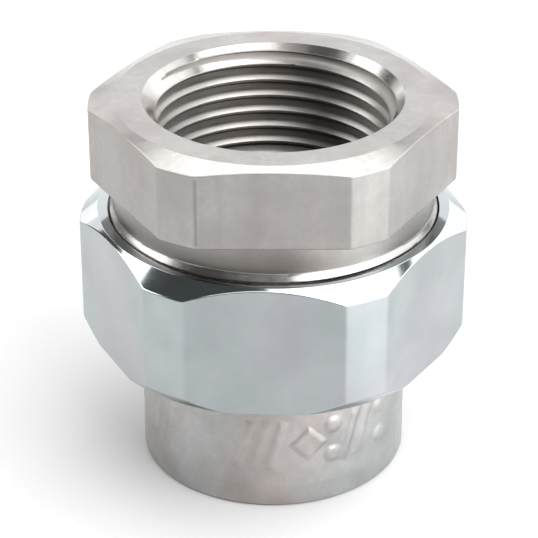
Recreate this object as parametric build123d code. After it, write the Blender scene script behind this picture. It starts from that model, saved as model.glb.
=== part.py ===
from build123d import *
import os
from math import cos, radians, sqrt

# Pipe union in three threaded pieces and a pressed-in seat ring, standing on
# the end of its lower hub.  Millimetres, +Z up along the bore, origin at the
# centre of the lower end face.

# ---- driving dimensions ----------------------------------------------------
total_h = 41.4            # end face to end face, made up tight

# upper hub: hex head on a threaded neck
head_z0 = 32.7            # underside of the head
head_r = 19.13            # corners turned to this radius
head_flat = 17.54         # centre to flat
head_top_r = 16.45        # where the corner bevel meets the top face
head_bevel_z = 40.70      # where the bevel leaves the turned corner
neck_z0 = 21.3            # lower end of the neck
neck_r = 16.60            # plain cylinder at the pitch line of the neck thread
neck_end_break = 0.6

# upper pipe thread: 3/4-14 taper, drawn as a plain wall at its mean crest
top_thread_r = 11.60
top_thread_len = 14.5
top_mouth_r = 13.50       # countersink at the end face
hub_throat_r = 10.30

# seat ring pressed into the neck
ring_r = 14.00
ring_top_z = 26.0
ring_bore_r = 10.40

# union nut
nut_z0 = 14.45
nut_z1 = 28.95
nut_r = 20.50             # turned corners
nut_flat = 18.83          # centre to flat
nut_turn = -2.8           # degrees about +Z, where the nut came to rest
nut_top_r = 18.52         # where the top bevel meets the top face, inside the flats
nut_top_bevel_z = 27.35
nut_bot_r = 19.21
nut_bot_bevel_z = 15.93
nut_lip_z = 17.50         # inner shoulder of the lip
nut_lip_r = 14.55         # lip bore, runs on the barrel
nut_relief_r = 17.20
nut_relief_z = 20.20
nut_thread_r = 16.70      # plain cylinder at the pitch line of the nut thread
nut_mouth_r = 17.50

# lower hub: round barrel, retaining flange and ground crown
barrel_r = 14.30
barrel_break = 0.25
flange_z0 = 17.55
flange_z1 = 20.60
flange_r = 15.70
crown_base_r = 13.60
crown_top_z = 24.40
crown_slope = 0.70        # radius lost per millimetre of height
seat_gap = 0.07           # radial allowance between crown and ring

# lower pipe thread: 1/2-14 taper, drawn as a plain wall at its mean crest
low_thread_r = 8.95
low_thread_len = 13.5
low_mouth_r = 11.00
low_throat_r = 8.00

# raised casting marks on the barrel
mark_proud = 0.25
mark_z = 7.6
mark_slant = 16.0         # degrees, tops of the strokes leaning to +azimuth

crown_top_r = crown_base_r - crown_slope * (crown_top_z - flange_z1)


def turned(points):
    """Solid of revolution about Z from (radius, height) points."""
    wire = Plane.XZ * Polyline(*points, close=True)
    return revolve(make_face(wire), Axis.Z, 360)


def hexagon(flat, z0, z1, turn=0.0):
    """Hex prism by its centre-to-flat distance; one flat faces -Y at turn 0."""
    sketch = RegularPolygon(flat, 6, major_radius=False, rotation=turn)
    return Pos(0, 0, z0) * extrude(sketch, z1 - z0)


# ---- upper hub --------------------------------------------------------------
head = hexagon(head_flat, head_z0, total_h) & turned([
    (0, head_z0), (head_r, head_z0), (head_r, head_bevel_z),
    (head_top_r, total_h), (0, total_h)])
neck = turned([
    (0, neck_z0), (neck_r - neck_end_break, neck_z0),
    (neck_r, neck_z0 + neck_end_break), (neck_r, head_z0 + 0.5),
    (0, head_z0 + 0.5)])
top_thread_z = total_h - top_thread_len
mouth_depth = 1.95        # countersink depth
upper_void = turned([
    (0, neck_z0 - 1), (ring_r, neck_z0 - 1), (ring_r, ring_top_z),
    (hub_throat_r, ring_top_z), (hub_throat_r, top_thread_z),
    (top_thread_r, top_thread_z), (top_thread_r, total_h - mouth_depth),
    (top_mouth_r, total_h), (top_mouth_r, total_h + 1), (0, total_h + 1)])
upper_hub = head + neck - upper_void

# ---- seat ring ---------------------------------------------------------------
cone_r0 = crown_base_r - crown_slope * (neck_z0 - flange_z1) + seat_gap
cone_z1 = neck_z0 + (cone_r0 - ring_bore_r) / crown_slope
seat_ring = turned([
    (cone_r0, neck_z0), (ring_r, neck_z0), (ring_r, ring_top_z),
    (ring_bore_r, ring_top_z), (ring_bore_r, cone_z1)])

# ---- union nut ----------------------------------------------------------------
nut_body = hexagon(nut_flat, nut_z0, nut_z1, nut_turn) & turned([
    (0, nut_z0), (nut_bot_r, nut_z0), (nut_r, nut_bot_bevel_z),
    (nut_r, nut_top_bevel_z), (nut_top_r, nut_z1), (0, nut_z1)])
mouth_z = nut_z1 - (nut_mouth_r - nut_thread_r)
nut_void = turned([
    (0, nut_z0 - 1), (nut_lip_r, nut_z0 - 1), (nut_lip_r, nut_lip_z),
    (nut_relief_r, nut_lip_z), (nut_relief_r, nut_relief_z),
    (nut_thread_r, nut_relief_z), (nut_thread_r, mouth_z),
    (nut_mouth_r, nut_z1), (nut_mouth_r, nut_z1 + 1), (0, nut_z1 + 1)])
union_nut = nut_body - nut_void

# ---- lower hub ------------------------------------------------------------------
barrel = turned([
    (0, 0), (barrel_r - barrel_break, 0), (barrel_r, barrel_break),
    (barrel_r, flange_z0), (flange_r, flange_z0), (flange_r, flange_z1),
    (crown_base_r, flange_z1), (crown_top_r, crown_top_z), (0, crown_top_z)])
low_mouth_depth = low_mouth_r - low_thread_r
lower_void = turned([
    (0, -1), (low_mouth_r, -1), (low_mouth_r, 0),
    (low_thread_r, low_mouth_depth), (low_thread_r, low_thread_len),
    (low_throat_r, low_thread_len), (low_throat_r, crown_top_z - 0.6),
    (low_throat_r + 0.6, crown_top_z), (low_throat_r + 0.6, crown_top_z + 1),
    (0, crown_top_z + 1)])

# Plain raised marks such as a casting pattern leaves: slanted strokes, dots and
# a lozenge.
skin = turned([
    (barrel_r - 0.6, 1.5), (barrel_r + mark_proud, 1.5),
    (barrel_r + mark_proud, 13.2), (barrel_r - 0.6, 13.2)])


def mark(angle, shape):
    """Place a shape at the barrel wall, its X axis pointing outwards."""
    return Rot(0, 0, angle) * Pos(barrel_r, 0, mark_z) * shape & skin


stroke = Rot(-mark_slant, 0, 0) * Box(4, 1.0, 5.8)
dot = Rot(0, 90, 0) * Cylinder(0.95, 4)
lozenge = Rot(45, 0, 0) * Box(4, 2.9, 2.9)
marks = [mark(angle, stroke) for angle in (-148, -140, -103, -96, -89, -56, -49)]
marks += [
    mark(-75, lozenge),
    mark(-64, Pos(0, 0, 1.8) * dot),
    mark(-64, Pos(0, 0, -1.8) * dot),
    mark(-38, Pos(0, 0, 1.8) * dot),
    mark(-38, Pos(0, 0, -1.8) * dot),
]
lower_hub = barrel - lower_void
for m in marks:
    lower_hub = lower_hub + m

# ---- write one file per piece ------------------------------------------------------
os.makedirs("parts", exist_ok=True)
for name, shape in {
    "upper_hub": upper_hub,
    "seat_ring": seat_ring,
    "union_nut": union_nut,
    "lower_hub": lower_hub,
}.items():
    shape.label = name
    export_step(shape, f"parts/{name}.step")
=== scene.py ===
import bpy, math
import numpy as np
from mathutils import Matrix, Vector


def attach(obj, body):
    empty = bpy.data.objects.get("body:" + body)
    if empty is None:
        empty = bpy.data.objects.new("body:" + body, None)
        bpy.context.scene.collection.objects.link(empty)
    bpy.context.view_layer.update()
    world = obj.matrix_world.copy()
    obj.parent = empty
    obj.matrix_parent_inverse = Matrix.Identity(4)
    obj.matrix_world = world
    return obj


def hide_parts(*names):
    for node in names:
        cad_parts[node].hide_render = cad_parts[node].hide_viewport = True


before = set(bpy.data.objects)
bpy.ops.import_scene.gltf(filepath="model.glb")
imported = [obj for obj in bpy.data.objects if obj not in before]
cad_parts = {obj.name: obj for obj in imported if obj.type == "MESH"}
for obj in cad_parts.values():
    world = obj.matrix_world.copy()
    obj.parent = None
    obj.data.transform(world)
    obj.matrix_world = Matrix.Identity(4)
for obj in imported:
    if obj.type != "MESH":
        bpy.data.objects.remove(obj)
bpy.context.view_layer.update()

MM = 0.001
TAU = 2 * math.pi


# --------------------------------------------------------------------------
# Camera and stage
# --------------------------------------------------------------------------
scene = bpy.context.scene
scene.view_settings.view_transform = "Standard"
scene.view_settings.look = "None"

ELEV = math.radians(29.0)
DIST = 239.4 * MM
AIM_Z = 20.89 * MM
cam_data = bpy.data.cameras.new("camera")
cam_data.sensor_width = 36.0
cam_data.lens = 2231.0 / 538.0 * 36.0
cam_data.shift_x = -4.4 / 538.0
cam_data.clip_start = 0.01
cam_data.clip_end = 20.0
cam_data.dof.use_dof = False
cam = bpy.data.objects.new("camera", cam_data)
scene.collection.objects.link(cam)
cam.location = (0.0, -DIST * math.cos(ELEV), AIM_Z + DIST * math.sin(ELEV))
cam.rotation_euler = (math.pi / 2 - ELEV, 0.0, 0.0)
scene.camera = cam


# --------------------------------------------------------------------------
# Mesh tools: a piece is a closed loop of (radius, height) rows, one loop for
# each angle, joined into a skin.  Thread rows follow their helix.
# --------------------------------------------------------------------------
def rounded(points, radii, steps=3):
    """An open path of (r, z) points with its inner corners rounded off."""
    out = []
    last = len(points) - 1
    for i, (p, rad) in enumerate(zip(points, radii)):
        if rad <= 0 or i in (0, last):
            out.append(p)
            continue
        ax, ay = points[i - 1][0] - p[0], points[i - 1][1] - p[1]
        bx, by = points[i + 1][0] - p[0], points[i + 1][1] - p[1]
        la, lb = math.hypot(ax, ay) or 1e-9, math.hypot(bx, by) or 1e-9
        ax, ay, bx, by = ax / la, ay / la, bx / lb, by / lb
        half = math.acos(max(-1.0, min(1.0, ax * bx + ay * by))) / 2
        t = min(rad / max(math.tan(half), 1e-3), 0.46 * la, 0.46 * lb)
        for k in range(steps + 1):
            s = k / steps
            w0, w1, w2 = (1 - s) ** 2, 2 * s * (1 - s), s * s
            out.append((w0 * (p[0] + ax * t) + w1 * p[0] + w2 * (p[0] + bx * t),
                        w0 * (p[1] + ay * t) + w1 * p[1] + w2 * (p[1] + by * t)))
    return out


def angles(special=(), fine=(), step=1.5, near=(0.0, 0.22, 0.5, 0.95)):
    """Angles in degrees from 0 to 360, closer together beside special ones and inside fine spans (from, to, step)."""
    out = set()
    for s in special:
        for d in near:
            out.add(round((s + d) % 360.0, 4))
            out.add(round((s - d) % 360.0, 4))
    guard = [s % 360.0 for s in special]
    n = int(round(360 / step))
    for i in range(n):
        a = i * step
        if any(abs((a - g + 180) % 360 - 180) < near[-1] + 0.3 for g in guard):
            continue
        if any((a - f0) % 360 < (f1 - f0) for f0, f1, _ in fine):
            continue
        out.add(round(a % 360.0, 4))
    for f0, f1, fs in fine:
        m = int(round((f1 - f0) / fs))
        for i in range(m + 1):
            out.add(round((f0 + (f1 - f0) * i / m) % 360.0, 4))
    out = sorted(out)
    keep = [out[0]]
    for a in out[1:]:
        if a - keep[-1] > 0.06:
            keep.append(a)
    if 360.0 - keep[-1] < 0.06:
        keep.pop()
    return np.array(keep + [keep[0] + 360.0])


def soft_min(a, b, k):
    h = max(k - abs(a - b), 0.0) / k
    return min(a, b) - h * h * k * 0.25


def hex_radius(deg, flat, turned, turn=0.0, soft=0.06):
    """Outline of a hexagon whose corners are turned to a radius; one flat faces -Y at turn 0."""
    d = (deg - turn + 90.0 + 30.0) % 60.0 - 30.0
    return soft_min(flat / math.cos(math.radians(d)), turned, soft)


def skin(name, columns, attrs, smooth_deg=38.0):
    """columns: array (angles, rows, 3) of points in mm whose rows close on themselves and whose last column repeats the first.
    attrs: {name: array (angles, rows)}. Rows that coincide are merged, so clamped thread ends close up."""
    na, nr, _ = columns.shape
    pts = columns.reshape(-1, 3)
    key = np.round(pts * 2e4).astype(np.int64)
    _, first, inv = np.unique(key, axis=0, return_index=True, return_inverse=True)
    inv = inv.reshape(-1)
    verts = pts[first] * MM
    idx = inv.reshape(na, nr)
    a = idx[:-1, :]
    b = idx[1:, :]
    a2 = np.roll(a, -1, axis=1)
    b2 = np.roll(b, -1, axis=1)
    quads = np.stack([a, b, b2, a2], axis=-1).reshape(-1, 4)
    faces = []
    for q in quads.tolist():
        f = []
        for v in q:
            if v not in f:
                f.append(v)
        if len(f) > 2:
            faces.append(f)
    # drop faces that fold onto each other
    seen = {}
    for i, f in enumerate(faces):
        k = tuple(sorted(f))
        seen.setdefault(k, []).append(i)
    doubled = {i for v in seen.values() if len(v) > 1 for i in v}
    if doubled:
        faces = [f for i, f in enumerate(faces) if i not in doubled]
    # outward orientation from the signed volume
    V = verts
    tri = np.array([(f[0], f[j], f[j + 1]) for f in faces for j in range(1, len(f) - 1)])
    vol = np.einsum("ij,ij->i", V[tri[:, 0]], np.cross(V[tri[:, 1]], V[tri[:, 2]])).sum()
    if vol < 0:
        faces = [f[::-1] for f in faces]
    mesh = bpy.data.meshes.new(name)
    mesh.from_pydata(verts.tolist(), [], faces)
    mesh.update()
    for an, arr in attrs.items():
        at = mesh.attributes.new(an, "FLOAT", "POINT")
        at.data.foreach_set("value", arr.reshape(-1)[first].astype(np.float32))
    area_normals(mesh, smooth_deg)
    ob = bpy.data.objects.new(name, mesh)
    scene.collection.objects.link(ob)
    return ob


def area_normals(mesh, limit_deg):
    """Corner normals averaged over the neighbouring faces within an angle, weighted by area, so that flats stay flat beside rounded edges."""
    nf = len(mesh.polygons)
    nl = len(mesh.loops)
    fn = np.zeros(nf * 3)
    mesh.polygons.foreach_get("normal", fn)
    fn = fn.reshape(-1, 3)
    area = np.zeros(nf)
    mesh.polygons.foreach_get("area", area)
    lv = np.zeros(nl, np.int64)
    mesh.loops.foreach_get("vertex_index", lv)
    start = np.zeros(nf, np.int64)
    total = np.zeros(nf, np.int64)
    mesh.polygons.foreach_get("loop_start", start)
    mesh.polygons.foreach_get("loop_total", total)
    lf = np.repeat(np.arange(nf), total)
    order = np.argsort(lv, kind="stable")
    sv = lv[order]
    sf = lf[order]
    nv = len(mesh.vertices)
    count = np.bincount(sv, minlength=nv)
    begin = np.concatenate([[0], np.cumsum(count)[:-1]])
    acc = np.zeros((nl, 3))
    cosl = math.cos(math.radians(limit_deg))
    for k in range(int(count.max())):
        ok = count[lv] > k
        j = begin[lv[ok]] + k
        g = sf[j]
        n = fn[g]
        near = np.einsum("ij,ij->i", fn[lf[ok]], n) > cosl
        acc[ok] += n * (area[g] * near)[:, None]
    ln = np.linalg.norm(acc, axis=1)
    bad = ln < 1e-20
    acc[bad] = fn[lf[bad]]
    ln[bad] = 1.0
    acc /= ln[:, None]
    mesh.polygons.foreach_set("use_smooth", np.ones(nf, bool))
    mesh.normals_split_custom_set(acc.tolist())


# Thread shape over one pitch: phase 0 is the middle of the crest, 0.5 the
# middle of the root; depth 0 at the crest and 1 at the root.
def thread_depth(phase, crest_flat, root_flat, soft=0.10):
    d = abs((phase + 0.5) % 1.0 - 0.5)            # 0 at crest, 0.5 at root
    lo, hi = crest_flat / 2, 0.5 - root_flat / 2
    t = (d - lo) / (hi - lo)
    # rounded clamp of t to 0..1
    def up(x, s):
        return 0.0 if x <= -s else (x if x >= s else (x + s) ** 2 / (4 * s))
    t = up(t, soft)
    return 1.0 - up(1.0 - t, soft)


def thread_phases(crest_flat, root_flat, soft=0.10):
    lo, hi = crest_flat / 2, 0.5 - root_flat / 2
    w = soft * (hi - lo)
    half = [0.0, lo - w, lo, lo + w, (lo * 2 + hi) / 3, (lo + hi * 2) / 3, hi - w, hi, hi + w, 0.5]
    half = [max(0.0, min(0.5, h)) for h in half]
    return sorted(set([round(h, 5) for h in half] + [round(1 - h, 5) for h in half if 0 < h < 0.5]))


class Thread:
    """Rows of a right-hand helical thread between two heights, for a column at an angle."""

    def __init__(self, pitch, z_a, z_b, z_crest, crest_flat, root_flat, radius, rising=True, soft=0.10):
        self.p, self.za, self.zb, self.z0 = pitch, z_a, z_b, z_crest
        self.cf, self.rf, self.soft = crest_flat, root_flat, soft
        self.radius = radius        # radius(z, depth, angle) -> r
        self.rising = rising
        ph = thread_phases(crest_flat, root_flat, soft)
        self.m = len(ph)
        n0 = math.floor((z_a - z_crest) / pitch) - 2
        n1 = math.ceil((z_b - z_crest) / pitch) + 1
        self.u = [n + f for n in range(n0, n1 + 1) for f in ph]

    def rows(self, deg, snap=None):
        """[(r, z, depth)] for an angle in degrees, 0 to 360 and a full turn inclusive."""
        out = []
        for u in self.u:
            z = self.z0 + self.p * (u + deg / 360.0)
            zc = min(max(z, self.za), self.zb)
            ph = (zc - self.z0) / self.p - deg / 360.0
            d = thread_depth(ph, self.cf, self.rf, self.soft)
            out.append((zc, d))
        res = [(self.radius(z, d, deg), z, d) for z, d in out]
        if snap is not None:
            res = snap_rows(res, snap)
        return res if self.rising else res[::-1]


def snap_rows(rows, cutter):
    """Where a cutter's radius crosses the thread's, move the nearer row onto the crossing. rows hold the thread radius;
    the result is cut with the cutter. cutter(z) -> (radius, sense) with sense +1 for a hole and -1 for an outside."""
    rad = [r for r, _, _ in rows]
    zz = [z for _, z, _ in rows]
    dd = [d for _, _, d in rows]
    cr = [cutter(z)[0] for z in zz]
    sense = cutter(zz[0])[1]
    n = len(rows)
    used = set()
    for i in range(n - 1):
        g0, g1 = rad[i] - cr[i], rad[i + 1] - cr[i + 1]
        if g0 * g1 < 0 and zz[i + 1] - zz[i] > 1e-6:
            s = g0 / (g0 - g1)
            j = i if s < 0.5 else i + 1
            if j in used:
                j = i + 1 if j == i else i
            if j in used or j == 0 or j == n - 1:
                continue
            used.add(j)
            z = zz[i] + s * (zz[i + 1] - zz[i])
            r = rad[i] + s * (rad[i + 1] - rad[i])
            if j == i:
                zz[i], rad[i], cr[i] = z, r, r
            else:
                zz[i + 1], rad[i + 1], cr[i + 1] = z, r, r
    out = []
    for r, c, z, d in zip(rad, cr, zz, dd):
        k = max(r, c) if sense > 0 else min(r, c)
        cut = (c > r) if sense > 0 else (c < r)
        out.append((k, z, -1.0 if cut else d))
    return out


def build(name, degs, loop_at, smooth_deg=38.0):
    """loop_at(deg) -> list of (r, z, depth, kind); a positive depth sets the painted shade of thread roots and
    recesses.
    """
    cols, recess_shade_amounts, kind = [], [], []
    for a in degs:
        loop = loop_at(a)
        ca, sa = math.cos(math.radians(a)), math.sin(math.radians(a))
        cols.append([(r * ca, r * sa, z) for r, z, _, _ in loop])
        recess_shade_amounts.append([max(d, 0.0) for _, _, d, _ in loop])
        kind.append([k for _, _, _, k in loop])
    cols = np.array(cols)
    ob = skin(name, cols, {"recess_shade": np.array(recess_shade_amounts), "kind": np.array(kind, float)}, smooth_deg)
    return ob


def plain(points, kind):
    return [(r, z, 0.0, kind) for r, z in points]


# kinds of surface: 0 rough side, 1 turned or bevelled, 2 thread
# --------------------------------------------------------------------------
# Upper hub
# --------------------------------------------------------------------------
PITCH = 1.8143
RATIO = PITCH / TAU
NECK_CREST_Z = 29.45          # a crest of the neck thread at +X


def flats(turn=0.0, flat=1.0, turned=1.0):
    half = math.degrees(math.acos(flat / turned))
    return [(-90 + turn + 60 * k + s * half) % 360 for k in range(6) for s in (-1, 1)]


HEAD_FLAT, HEAD_R = 17.54, 19.13
npt_top_crest = 12.0


def bevel_height(r, r0, z0, r1, z1):
    """Height on the bevel line from (r0, z0) to (r1, z1) at radius r."""
    t = (r - r0) / (r1 - r0)
    return z0 + t * (z1 - z0)


upper_thread = Thread(
    PITCH, 26.9, 41.4, 40.6 - PITCH * 112 / 360 - PITCH / 2, 0.20, 0.14,
    lambda z, d, a: (npt_top_crest - max(0.0, 39.4 - z) / 32.0)
    + 1.10 * d * min(1.0, max(0.0, (z - 27.6) / 2.6)),
    rising=True, soft=0.48)


def upper_cutter(z):
    # the countersink
    return 11.98 + (z - 39.50) * (13.56 - 11.98) / (41.4 - 39.50), 1


HEAD_Z0 = 32.7
neck_thread = Thread(
    PITCH, 21.3, 29.6, NECK_CREST_Z, 0.14, 0.12,
    lambda z, d, a: 17.34 - 1.30 * d * min(1.0, max(0.0, (29.02 - z) / 0.50)),
    rising=False)


def neck_cutter(z):
    # the lead-in chamfer at the lower end, and the shoulder below the plain neck
    return min(15.7 + (z - 21.3) * 1.1, 17.34 - max(0.0, z - 28.95) * 0.62), -1


def upper_loop(deg):
    rw = hex_radius(deg, HEAD_FLAT, HEAD_R, soft=0.10)
    zt = bevel_height(rw, 16.45, 41.4, 19.13, 40.70)
    # a fine tool mark where the front flat meets its left corner; its crease is darkened with painted shade
    off = (deg + 113.58 + 180.0) % 360.0 - 180.0
    notch = max(0.0, 1.0 - abs(off) / 0.95)
    rn = rw - 0.16 * notch
    # the painted shade on the neck is weaker around -58°, the side of the neck that is lit
    lit_side_fade = 1.0 - 0.75 * math.exp(-((((deg + 58.0 + 180.0) % 360.0 - 180.0) / 16.0) ** 2))
    path = rounded(
        [(13.56, 41.4), (13.56, 41.4), (16.45, 41.4), (rw, zt), (rn, zt - 0.6), (rn, HEAD_Z0 + 0.5), (rw, HEAD_Z0),
         (16.90, HEAD_Z0), (16.92, 29.75), (16.94, 29.6)],
        [0, 0, 0.30, 0.14, 0, 0, 0.20, 0.12, 0.08, 0])
    # the top face and bevel are turned, the sides rough, the neck turned
    out = []
    for i, (r, z) in enumerate(path[1:-1]):
        # painted shade: the neck below the head is darkened, more the further down from the head, and the tool mark's
        # crease on the head is darkened too
        if r > 17.0:
            recess_painted_shade = notch * (0.55 if HEAD_Z0 + 0.3 < z < zt - 0.4 else 0.0)
        else:
            recess_painted_shade = (0.35 + 0.6 * (HEAD_Z0 - z) / 2.6) * lit_side_fade
        out.append((r, z, recess_painted_shade, 1 if i < 7 or z < HEAD_Z0 - 0.01 else 0))
    out += [(r, z, d, 2 if d >= 0 else 1) for r, z, d in neck_thread.rows(deg, neck_cutter)]
    out += plain(rounded([(15.7, 21.3), (14.02, 21.3), (14.02, 26.0), (10.3, 26.0), (10.3, 26.9), (11.5, 26.9)],
                         [0, 0.1, 0.05, 0.15, 0.1, 0], 2)[1:-1], 1)
    out += [(r, z, d, 2 if d >= 0 else 1) for r, z, d in upper_thread.rows(deg, upper_cutter)]
    return out


hub_degs = angles(flats(0.0, HEAD_FLAT, HEAD_R))
upper_hub = build("upper_hub_visual", hub_degs, upper_loop)

# --------------------------------------------------------------------------
# Seat ring
# --------------------------------------------------------------------------
def ring_loop(deg):
    p = [(13.18, 21.32), (13.98, 21.32), (13.98, 25.98), (10.42, 25.98), (10.42, 25.29)]
    path = rounded([((p[0][0] + p[1][0]) / 2, 21.32)] + p[1:] + [p[0], ((p[0][0] + p[1][0]) / 2, 21.32)],
                   [0, 0.12, 0.12, 0.25, 0.12, 0.10, 0], 3)
    return plain(path[:-1], 1)


seat_ring = build("seat_ring_visual", angles(step=2.0), ring_loop)

# --------------------------------------------------------------------------
# Union nut
# --------------------------------------------------------------------------
NUT_FLAT, NUT_R, NUT_TURN = 18.83, 20.50, -2.8
NUT_Z1 = 28.95
nut_thread = Thread(
    PITCH, 20.2, NUT_Z1, NECK_CREST_Z + PITCH / 2, 0.20, 0.10,
    lambda z, d, a: 16.22 + 1.24 * d,
    rising=True)


def nut_cutter(z):
    # the mouth's countersink, and the relief's runout below
    return max(17.50 + (z - NUT_Z1) * 0.8, 17.50 - (z - 20.2) * 1.2), 1


def nut_loop(deg):
    rw = hex_radius(deg, NUT_FLAT, NUT_R, NUT_TURN, 0.12)
    zt = min(bevel_height(rw, 18.52, NUT_Z1, 20.5, 27.35), NUT_Z1 - 0.02)
    zb = max(bevel_height(rw, 19.21, 14.45, 20.5, 15.93), 14.47)
    rt = min(18.52, rw - 0.02)
    rb = min(19.21, rw - 0.02)
    path = rounded(
        [(17.50, NUT_Z1), (17.50, NUT_Z1), (rt, NUT_Z1), (rw, zt), (rw, zb), (rb, 14.45), (14.55, 14.45),
         (14.55, 17.5), (17.50, 17.5), (17.50, 20.2)],
        [0, 0, 0.14, 0.32, 0.32, 0.28, 0.2, 0.15, 0.2, 0], 4)
    out = []
    for i, (r, z) in enumerate(path[1:-1]):
        out.append((r, z, 0.0, 1 if (i < 8 or i > 13) else 0))
    out += [(r, z, d, 2 if d >= 0 else 1) for r, z, d in nut_thread.rows(deg, nut_cutter)]
    return out


nut_degs = angles(flats(NUT_TURN, NUT_FLAT, NUT_R), near=(0.0, 0.3, 0.6, 0.9, 1.25, 1.7))
union_nut = build("union_nut_visual", nut_degs, nut_loop)

# --------------------------------------------------------------------------
# Lower hub
# --------------------------------------------------------------------------
BARREL_R = 14.30
lower_thread = Thread(
    PITCH, 0.0, 13.5, 1.0, 0.17, 0.07,
    lambda z, d, a: (9.30 - max(0.0, z - 1.8) / 32.0)
    + 1.22 * d * min(1.0, max(0.0, (12.8 - z) / 2.6)),
    rising=False)


def lower_cutter(z):
    return 9.30 + (1.75 - z) * (11.0 - 9.30) / 1.75, 1


MARK_Z = 7.6
SLANT = math.radians(16.0)
MARKS = [(a, "stroke", 0.0) for a in (-148, -140, -103, -96, -89, -56, -49)] + [
    (-75, "lozenge", 0.0), (-64, "dot", 1.8), (-64, "dot", -1.8), (-38, "dot", 1.8), (-38, "dot", -1.8)]


def mark_height(deg, z):
    """Raised casting marks: how far the barrel's skin stands out, in mm. Each is a soft rounded ridge or dome."""
    best = 0.0
    for a, kind, dz in MARKS:
        s = math.radians((deg - a + 180) % 360 - 180) * BARREL_R
        t = z - MARK_Z - dz
        if abs(s) > 4 or abs(t) > 4:
            continue
        if kind == "stroke":
            along = s * math.sin(SLANT) + t * math.cos(SLANT)
            across = s * math.cos(SLANT) - t * math.sin(SLANT)
            d, wide = max(abs(across) - 0.5, (abs(along) - 2.9) * 0.45), 0.5
        elif kind == "dot":
            d, wide = math.hypot(s, t) - 0.95, 0.6
        else:
            d, wide = (abs(s) + abs(t)) / math.sqrt(2) - 1.45, 0.6
        x = min(1.0, max(0.0, (0.12 - d) / (wide + 0.12)))
        best = max(best, x * (2 - x) * (1 - 0.25 * (1 - x) ** 2))
    return 0.22 * best


def cast_skin(deg, z):
    """Slight waviness of the cast wall, in mm."""
    t = math.radians(deg)
    v = (math.sin(9 * t + 1.3 * z + 0.4) * 0.35 + math.sin(17 * t - 0.9 * z + 2.1) * 0.30
         + math.sin(31 * t + 2.3 * z + 1.0) * 0.22 + math.sin(44 * t - 3.1 * z + 4.2) * 0.18
         + math.sin(5 * t + 0.6 * z) * 0.3)
    edge = min(1.0, max(0.0, (z - 2.6) / 1.5), max(0.0, (12.6 - z) / 1.5))
    return 0.035 * (v - 1.0) * edge


def lower_loop(deg):
    head = rounded([(11.0, 0.0), (11.0, 0.0), (14.05, 0.0), (14.30, 0.25), (14.30, 2.6)],
                   [0, 0, 0.10, 0.20, 0], 3)
    out = plain(head[1:-1], 1)
    for i in range(72):
        z = 2.6 + (12.6 - 2.6) * i / 71
        out.append((BARREL_R + mark_height(deg, z) + cast_skin(deg, z), z, 0.0, 0))
    tail = rounded([(14.30, 12.6), (14.30, 17.55), (15.70, 17.55), (15.70, 20.6), (13.60, 20.6),
                    (10.94, 24.4), (8.60, 24.4), (8.0, 23.8), (8.0, 13.5), (8.6, 13.5)],
                   [0, 0.3, 0.15, 0.2, 0.25, 0.35, 0.1, 0.1, 0.2, 0], 3)
    out += plain(tail[1:-1], 1)
    out += [(r, z, d, 2 if d >= 0 else 1) for r, z, d in lower_thread.rows(deg, lower_cutter)]
    return out


low_degs = angles(fine=[(-153, -135, 0.5), (-109, -33, 0.5)])
lower_hub = build("lower_hub_visual", low_degs, lower_loop)


# --------------------------------------------------------------------------
# Materials
# --------------------------------------------------------------------------
class Nodes:
    def __init__(self, name):
        self.mat = bpy.data.materials.new(name)
        self.mat.use_nodes = True
        self.t = self.mat.node_tree
        self.t.nodes.clear()
        self.out = self.add("ShaderNodeOutputMaterial")
        self.coord = self.add("ShaderNodeTexCoord")

    def add(self, kind, **inputs):
        n = self.t.nodes.new(kind)
        for k, v in inputs.items():
            setattr(n, k, v)
        return n

    def link(self, a, b):
        self.t.links.new(a, b)

    def put(self, socket, value):
        if hasattr(value, "links") or isinstance(value, bpy.types.NodeSocket):
            self.link(value, socket)
        else:
            socket.default_value = value

    def math(self, op, a, b=0.0, c=None, clamp=False):
        n = self.add("ShaderNodeMath", operation=op, use_clamp=clamp)
        self.put(n.inputs[0], a)
        self.put(n.inputs[1], b)
        if c is not None:
            self.put(n.inputs[2], c)
        return n.outputs[0]

    def scaled(self, sx, sy, sz, offset=(0, 0, 0), vector=None):
        n = self.add("ShaderNodeMapping")
        self.link(vector or self.coord.outputs["Object"], n.inputs["Vector"])
        n.inputs["Scale"].default_value = (sx, sy, sz)
        n.inputs["Location"].default_value = offset
        return n.outputs[0]

    def noise(self, vector, scale=1.0, detail=3.0, rough=0.55, distortion=0.0):
        n = self.add("ShaderNodeTexNoise")
        self.link(vector, n.inputs["Vector"])
        n.inputs["Scale"].default_value = scale
        n.inputs["Detail"].default_value = detail
        n.inputs["Roughness"].default_value = rough
        n.inputs["Distortion"].default_value = distortion
        return n.outputs["Fac"]

    def span(self, value, a0, a1, b0, b1):
        n = self.add("ShaderNodeMapRange")
        n.clamp = True
        self.put(n.inputs["Value"], value)
        n.inputs["From Min"].default_value = a0
        n.inputs["From Max"].default_value = a1
        n.inputs["To Min"].default_value = b0
        n.inputs["To Max"].default_value = b1
        return n.outputs[0]

    def mix(self, fac, a, b, blend="MIX"):
        n = self.add("ShaderNodeMix", data_type="RGBA", blend_type=blend)
        self.put(n.inputs[0], fac)
        for s, v in ((n.inputs[6], a), (n.inputs[7], b)):
            if isinstance(v, tuple):
                s.default_value = (*v, 1.0)
            else:
                self.link(v, s)
        return n.outputs[2]

    def attr(self, name):
        n = self.add("ShaderNodeAttribute")
        n.attribute_name = name
        return n.outputs["Fac"]

    def bump(self, height, distance, strength=1.0, normal=None):
        n = self.add("ShaderNodeBump")
        n.inputs["Strength"].default_value = strength
        n.inputs["Distance"].default_value = distance
        self.link(height, n.inputs["Height"])
        if normal is not None:
            self.link(normal, n.inputs["Normal"])
        return n.outputs[0]


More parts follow.
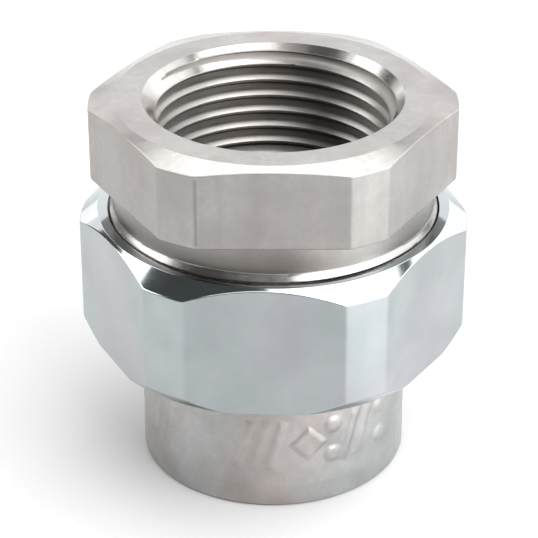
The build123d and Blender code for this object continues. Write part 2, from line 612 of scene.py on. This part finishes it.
def lathe_coord(n):
    """A coordinate that runs across lathe cuts, on faces, cones and cylinders alike."""
    flat = n.add("ShaderNodeVectorMath", operation="LENGTH")
    n.link(n.scaled(1, 1, 0), flat.inputs[0])
    z = n.add("ShaderNodeSeparateXYZ")
    n.link(n.coord.outputs["Object"], z.inputs[0])
    run = n.math("ADD", flat.outputs["Value"], n.math("MULTIPLY", z.outputs["Z"], 0.7))
    c = n.add("ShaderNodeCombineXYZ")
    n.link(run, c.inputs["X"])
    return c.outputs[0]


def plate(name, light, dark, tint_a, tint_b, side, turned_rough, grain, streak, mottle, lathe=1.0,
          dull_and_shade_color=(0.10, 0.09, 0.08), recess_shade_strength=0.55, thread_rough=0.16, thread_dull=0.25, grit=0.30, tooth=1.0):
    """Zinc plate over steel or a cast skin: mottled colour with faint passivation tints, drawn streaks on the flats,
    lathe rings on the turned faces, fine grain, and thread roots and recesses darkened with painted shade."""
    n = Nodes(name)
    b = n.add("ShaderNodeBsdfPrincipled")
    n.link(b.outputs[0], n.out.inputs["Surface"])
    b.inputs["Metallic"].default_value = 1.0
    kind = n.attr("kind")
    turned = n.span(kind, 0.0, 1.0, 0.0, 1.0)
    flat = n.math("SUBTRACT", 1.0, turned)
    recess_shade = n.attr("recess_shade")
    blotch = n.noise(n.scaled(1, 1, 1), 170, 4, 0.6)
    fine = n.noise(n.scaled(1, 1, 1, (3.1, 1.7, 0.4)), 1500, 3, 0.6)
    drawn = n.noise(n.scaled(1100, 1100, 40), 1.0, 3, 0.62)
    bands = n.noise(n.scaled(260, 260, 14, (0.2, 0.5, 0.1)), 1.0, 2, 0.5)
    wide = n.noise(n.scaled(1, 1, 0.6, (0.7, 0.2, 0.9)), 95, 2, 0.5)
    run = lathe_coord(n)
    rings = n.noise(run, 3200, 3, 0.6)
    # colour
    c = n.mix(n.span(blotch, 0.34, 0.66, 0.0, 1.0), dark, light)
    t = n.mix(n.span(wide, 0.40, 0.60, 0.0, 1.0), tint_a, tint_b)
    c = n.mix(mottle, c, t, "MULTIPLY")
    c = n.mix(n.math("MULTIPLY", n.span(drawn, 0.42, 0.72, 0.0, streak), flat), c, dark)
    c = n.mix(n.math("MULTIPLY", n.span(bands, 0.45, 0.65, 0.0, streak * 0.8), flat), c, light)
    c = n.mix(n.span(fine, 0.35, 0.70, 0.0, grit), c, dark)
    c = n.mix(n.span(kind, 1.0, 2.0, 0.0, thread_dull), c, dull_and_shade_color)
    # painted shade: thread roots and recesses darkened by their depth attribute
    c = n.mix(n.span(recess_shade, 0.1, 0.95, 0.0, recess_shade_strength), c, dull_and_shade_color)
    n.link(c, b.inputs["Base Color"])
    # roughness
    r0 = n.span(blotch, 0.3, 0.7, side[0], side[1])
    r1 = n.span(blotch, 0.3, 0.7, turned_rough[0], turned_rough[1])
    r = n.math("ADD", n.math("MULTIPLY", r0, flat), n.math("MULTIPLY", r1, turned))
    r = n.math("ADD", r, n.span(fine, 0.3, 0.7, -0.02 * tooth, 0.03 * tooth))
    r = n.math("ADD", r, n.span(kind, 1.0, 2.0, 0.0, thread_rough))
    r = n.math("ADD", r, n.span(recess_shade, 0.1, 0.9, 0.0, 0.10), clamp=True)
    n.link(r, b.inputs["Roughness"])
    # relief
    h = n.bump(n.math("MULTIPLY", fine, flat), 0.00002 * grain, 0.5)
    h = n.bump(n.math("MULTIPLY", drawn, flat), 0.00004 * grain, 0.5, h)
    h = n.bump(n.math("MULTIPLY", n.noise(n.scaled(1, 1, 1, (0.4, 0.8, 0.1)), 240, 1, 0.4), flat), 0.00012 * grain, 0.35, h)
    h = n.bump(n.math("MULTIPLY", rings, turned), 0.000004 * lathe, 0.5, h)
    n.link(h, b.inputs["Normal"])
    return n.mat


hub_mat = plate("hub_zinc", (0.425, 0.411, 0.400), (0.325, 0.312, 0.302), (1.0, 0.95, 0.95), (0.97, 1.0, 0.985),
                (0.30, 0.40), (0.18, 0.27), 1.0, 0.40, 0.7, recess_shade_strength=0.78)
nut_mat = plate("nut_zinc", (0.455, 0.478, 0.492), (0.385, 0.408, 0.422), (1.0, 0.955, 0.985), (0.95, 1.0, 0.985),
                (0.20, 0.27), (0.07, 0.13), 0.25, 0.15, 0.8, grit=0.12, tooth=0.3)
cast_mat = plate("cast_zinc", (0.50, 0.49, 0.485), (0.365, 0.355, 0.35), (1.0, 0.93, 0.91), (0.95, 1.0, 1.0),
                 (0.34, 0.48), (0.30, 0.42), 2.6, 0.14, 1.0)

n = Nodes("seat_brass")
b = n.add("ShaderNodeBsdfPrincipled")
n.link(b.outputs[0], n.out.inputs["Surface"])
b.inputs["Metallic"].default_value = 1.0
bl = n.noise(n.scaled(1, 1, 1), 220, 3, 0.6)
n.link(n.mix(n.span(bl, 0.3, 0.7, 0.0, 1.0), (0.52, 0.36, 0.13), (0.76, 0.56, 0.25)), b.inputs["Base Color"])
n.link(n.span(bl, 0.3, 0.7, 0.22, 0.36), b.inputs["Roughness"])
n.link(n.bump(n.noise(n.scaled(30, 30, 3000), 1.0, 2, 0.5), 0.00001, 0.5), b.inputs["Normal"])
brass_mat = n.mat

for ob, mat, node, body, slot in (
        (upper_hub, hub_mat, "upper_hub", "upper_hub", "hub_plate"),
        (seat_ring, brass_mat, "seat_ring", "upper_hub", "seat_brass"),
        (union_nut, nut_mat, "union_nut", "union_nut", "nut_plate"),
        (lower_hub, cast_mat, "lower_hub", "lower_hub", "cast_plate")):
    ob.data.materials.append(mat)
    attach(ob, body)
    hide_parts(node)


# --------------------------------------------------------------------------
# Floor and lights
# --------------------------------------------------------------------------
floor_mesh = bpy.data.meshes.new("floor")
S = 4.0
floor_mesh.from_pydata([(-S, -S, 0), (S, -S, 0), (S, S, 0), (-S, S, 0)], [], [(0, 1, 2, 3)])
floor = bpy.data.objects.new("floor", floor_mesh)
scene.collection.objects.link(floor)
floor.location.z = -0.00002
fm = Nodes("pale_floor_painted_light")
fb = fm.add("ShaderNodeBsdfPrincipled")
fm.link(fb.outputs[0], fm.out.inputs["Surface"])
fb.inputs["Roughness"].default_value = 0.9
fb.inputs["Specular IOR Level"].default_value = 0.1
fn_ = fm.noise(fm.scaled(1, 1, 1), 6.0, 2, 0.5)
place = fm.add("ShaderNodeSeparateXYZ")
fm.link(fm.coord.outputs["Object"], place.inputs[0])
# painted light and shade in the floor's colour: a lighter patch to the right and front-right of the object stands in
# for a pool of light, and a darker patch straight in front of it stands in for shade
side = fm.math("MULTIPLY", fm.span(place.outputs["X"], -0.010, 0.035, 0.0, 1.0),
               fm.span(place.outputs["Y"], -0.030, 0.004, 1.0, 0.0))
front = fm.math("MULTIPLY", fm.span(place.outputs["Y"], -0.022, -0.042, 0.0, 1.0),
                fm.span(fm.math("ABSOLUTE", place.outputs["X"]), 0.014, 0.040, 1.0, 0.0))
painted_floor_light = fm.mix(side, (0.56, 0.56, 0.56), (0.80, 0.80, 0.80))
painted_floor_light = fm.mix(front, painted_floor_light, (0.46, 0.46, 0.46))
painted_floor_light = fm.mix(fm.span(fn_, 0.3, 0.7, 0.0, 0.04), painted_floor_light, (0.60, 0.60, 0.60))
fm.link(painted_floor_light, fb.inputs["Base Color"])
floor_mesh.materials.append(fm.mat)


def area(name, direction, distance, size, size_y, radiance, color=(1, 1, 1), aim=(0, 0, 0.022)):
    """A softbox facing the object from a direction; radiance is how bright its face looks."""
    d = bpy.data.lights.new(name, "AREA")
    d.shape = "RECTANGLE"
    d.size, d.size_y = size, size_y
    d.energy = radiance * math.pi * size * size_y
    d.color = color
    o = bpy.data.objects.new(name, d)
    scene.collection.objects.link(o)
    v = Vector(direction).normalized()
    o.location = Vector(aim) + v * distance
    o.rotation_euler = (-v).to_track_quat("-Z", "Y").to_euler()
    return o


AIM = (0.0, 0.0, 0.03)


def panel(name, az, elev, distance, width, height, radiance):
    """A softbox at an azimuth (0 at +X, 90 at the back) and an elevation, in degrees."""
    a, e = math.radians(az), math.radians(elev)
    return area(name, (math.cos(a) * math.cos(e), math.sin(a) * math.cos(e), math.sin(e)), distance,
                width, height, radiance, aim=AIM)


def ceiling(name, x0, x1, y0, y1, height, radiance):
    """A level softbox overhead, given by its edges."""
    o = area(name, (0, 0, 1), 1.0, x1 - x0, y1 - y0, radiance)
    o.location = ((x0 + x1) / 2, (y0 + y1) / 2, height)
    o.rotation_euler = (0, 0, 0)
    return o


ceiling("overhead_right", -0.03, 0.80, -0.92, 0.76, 0.83, 3.1)
ceiling("overhead_back", -1.10, -0.03, 0.16, 0.76, 0.83, 3.1)
panel("right_wall", -41, 25, 0.9, 0.95, 0.76, 4.6)
panel("right_back", 18, 22, 1.0, 1.00, 0.60, 2.6)
panel("left_wall", 175, 25, 1.0, 0.66, 0.56, 4.0)
panel("back_mid", 90, 28, 1.2, 1.7, 0.50, 1.47)
panel("back_low", 93, 5, 1.5, 1.9, 0.44, 1.75)
panel("back_left", 129, 13, 1.5, 0.32, 0.70, 1.5)
panel("back_right", 52, 12, 1.5, 0.48, 0.80, 2.1)
ceiling("overhead_front", -0.45, -0.03, -0.90, -0.56, 0.83, 2.9)

world = bpy.data.worlds.new("studio")
scene.world = world
world.use_nodes = True
wt = world.node_tree
wt.nodes.clear()
wo = wt.nodes.new("ShaderNodeOutputWorld")
bg = wt.nodes.new("ShaderNodeBackground")
wt.links.new(bg.outputs[0], wo.inputs["Surface"])
bg.inputs["Color"].default_value = (1, 1, 1, 1)
bg.inputs["Strength"].default_value = 0.11
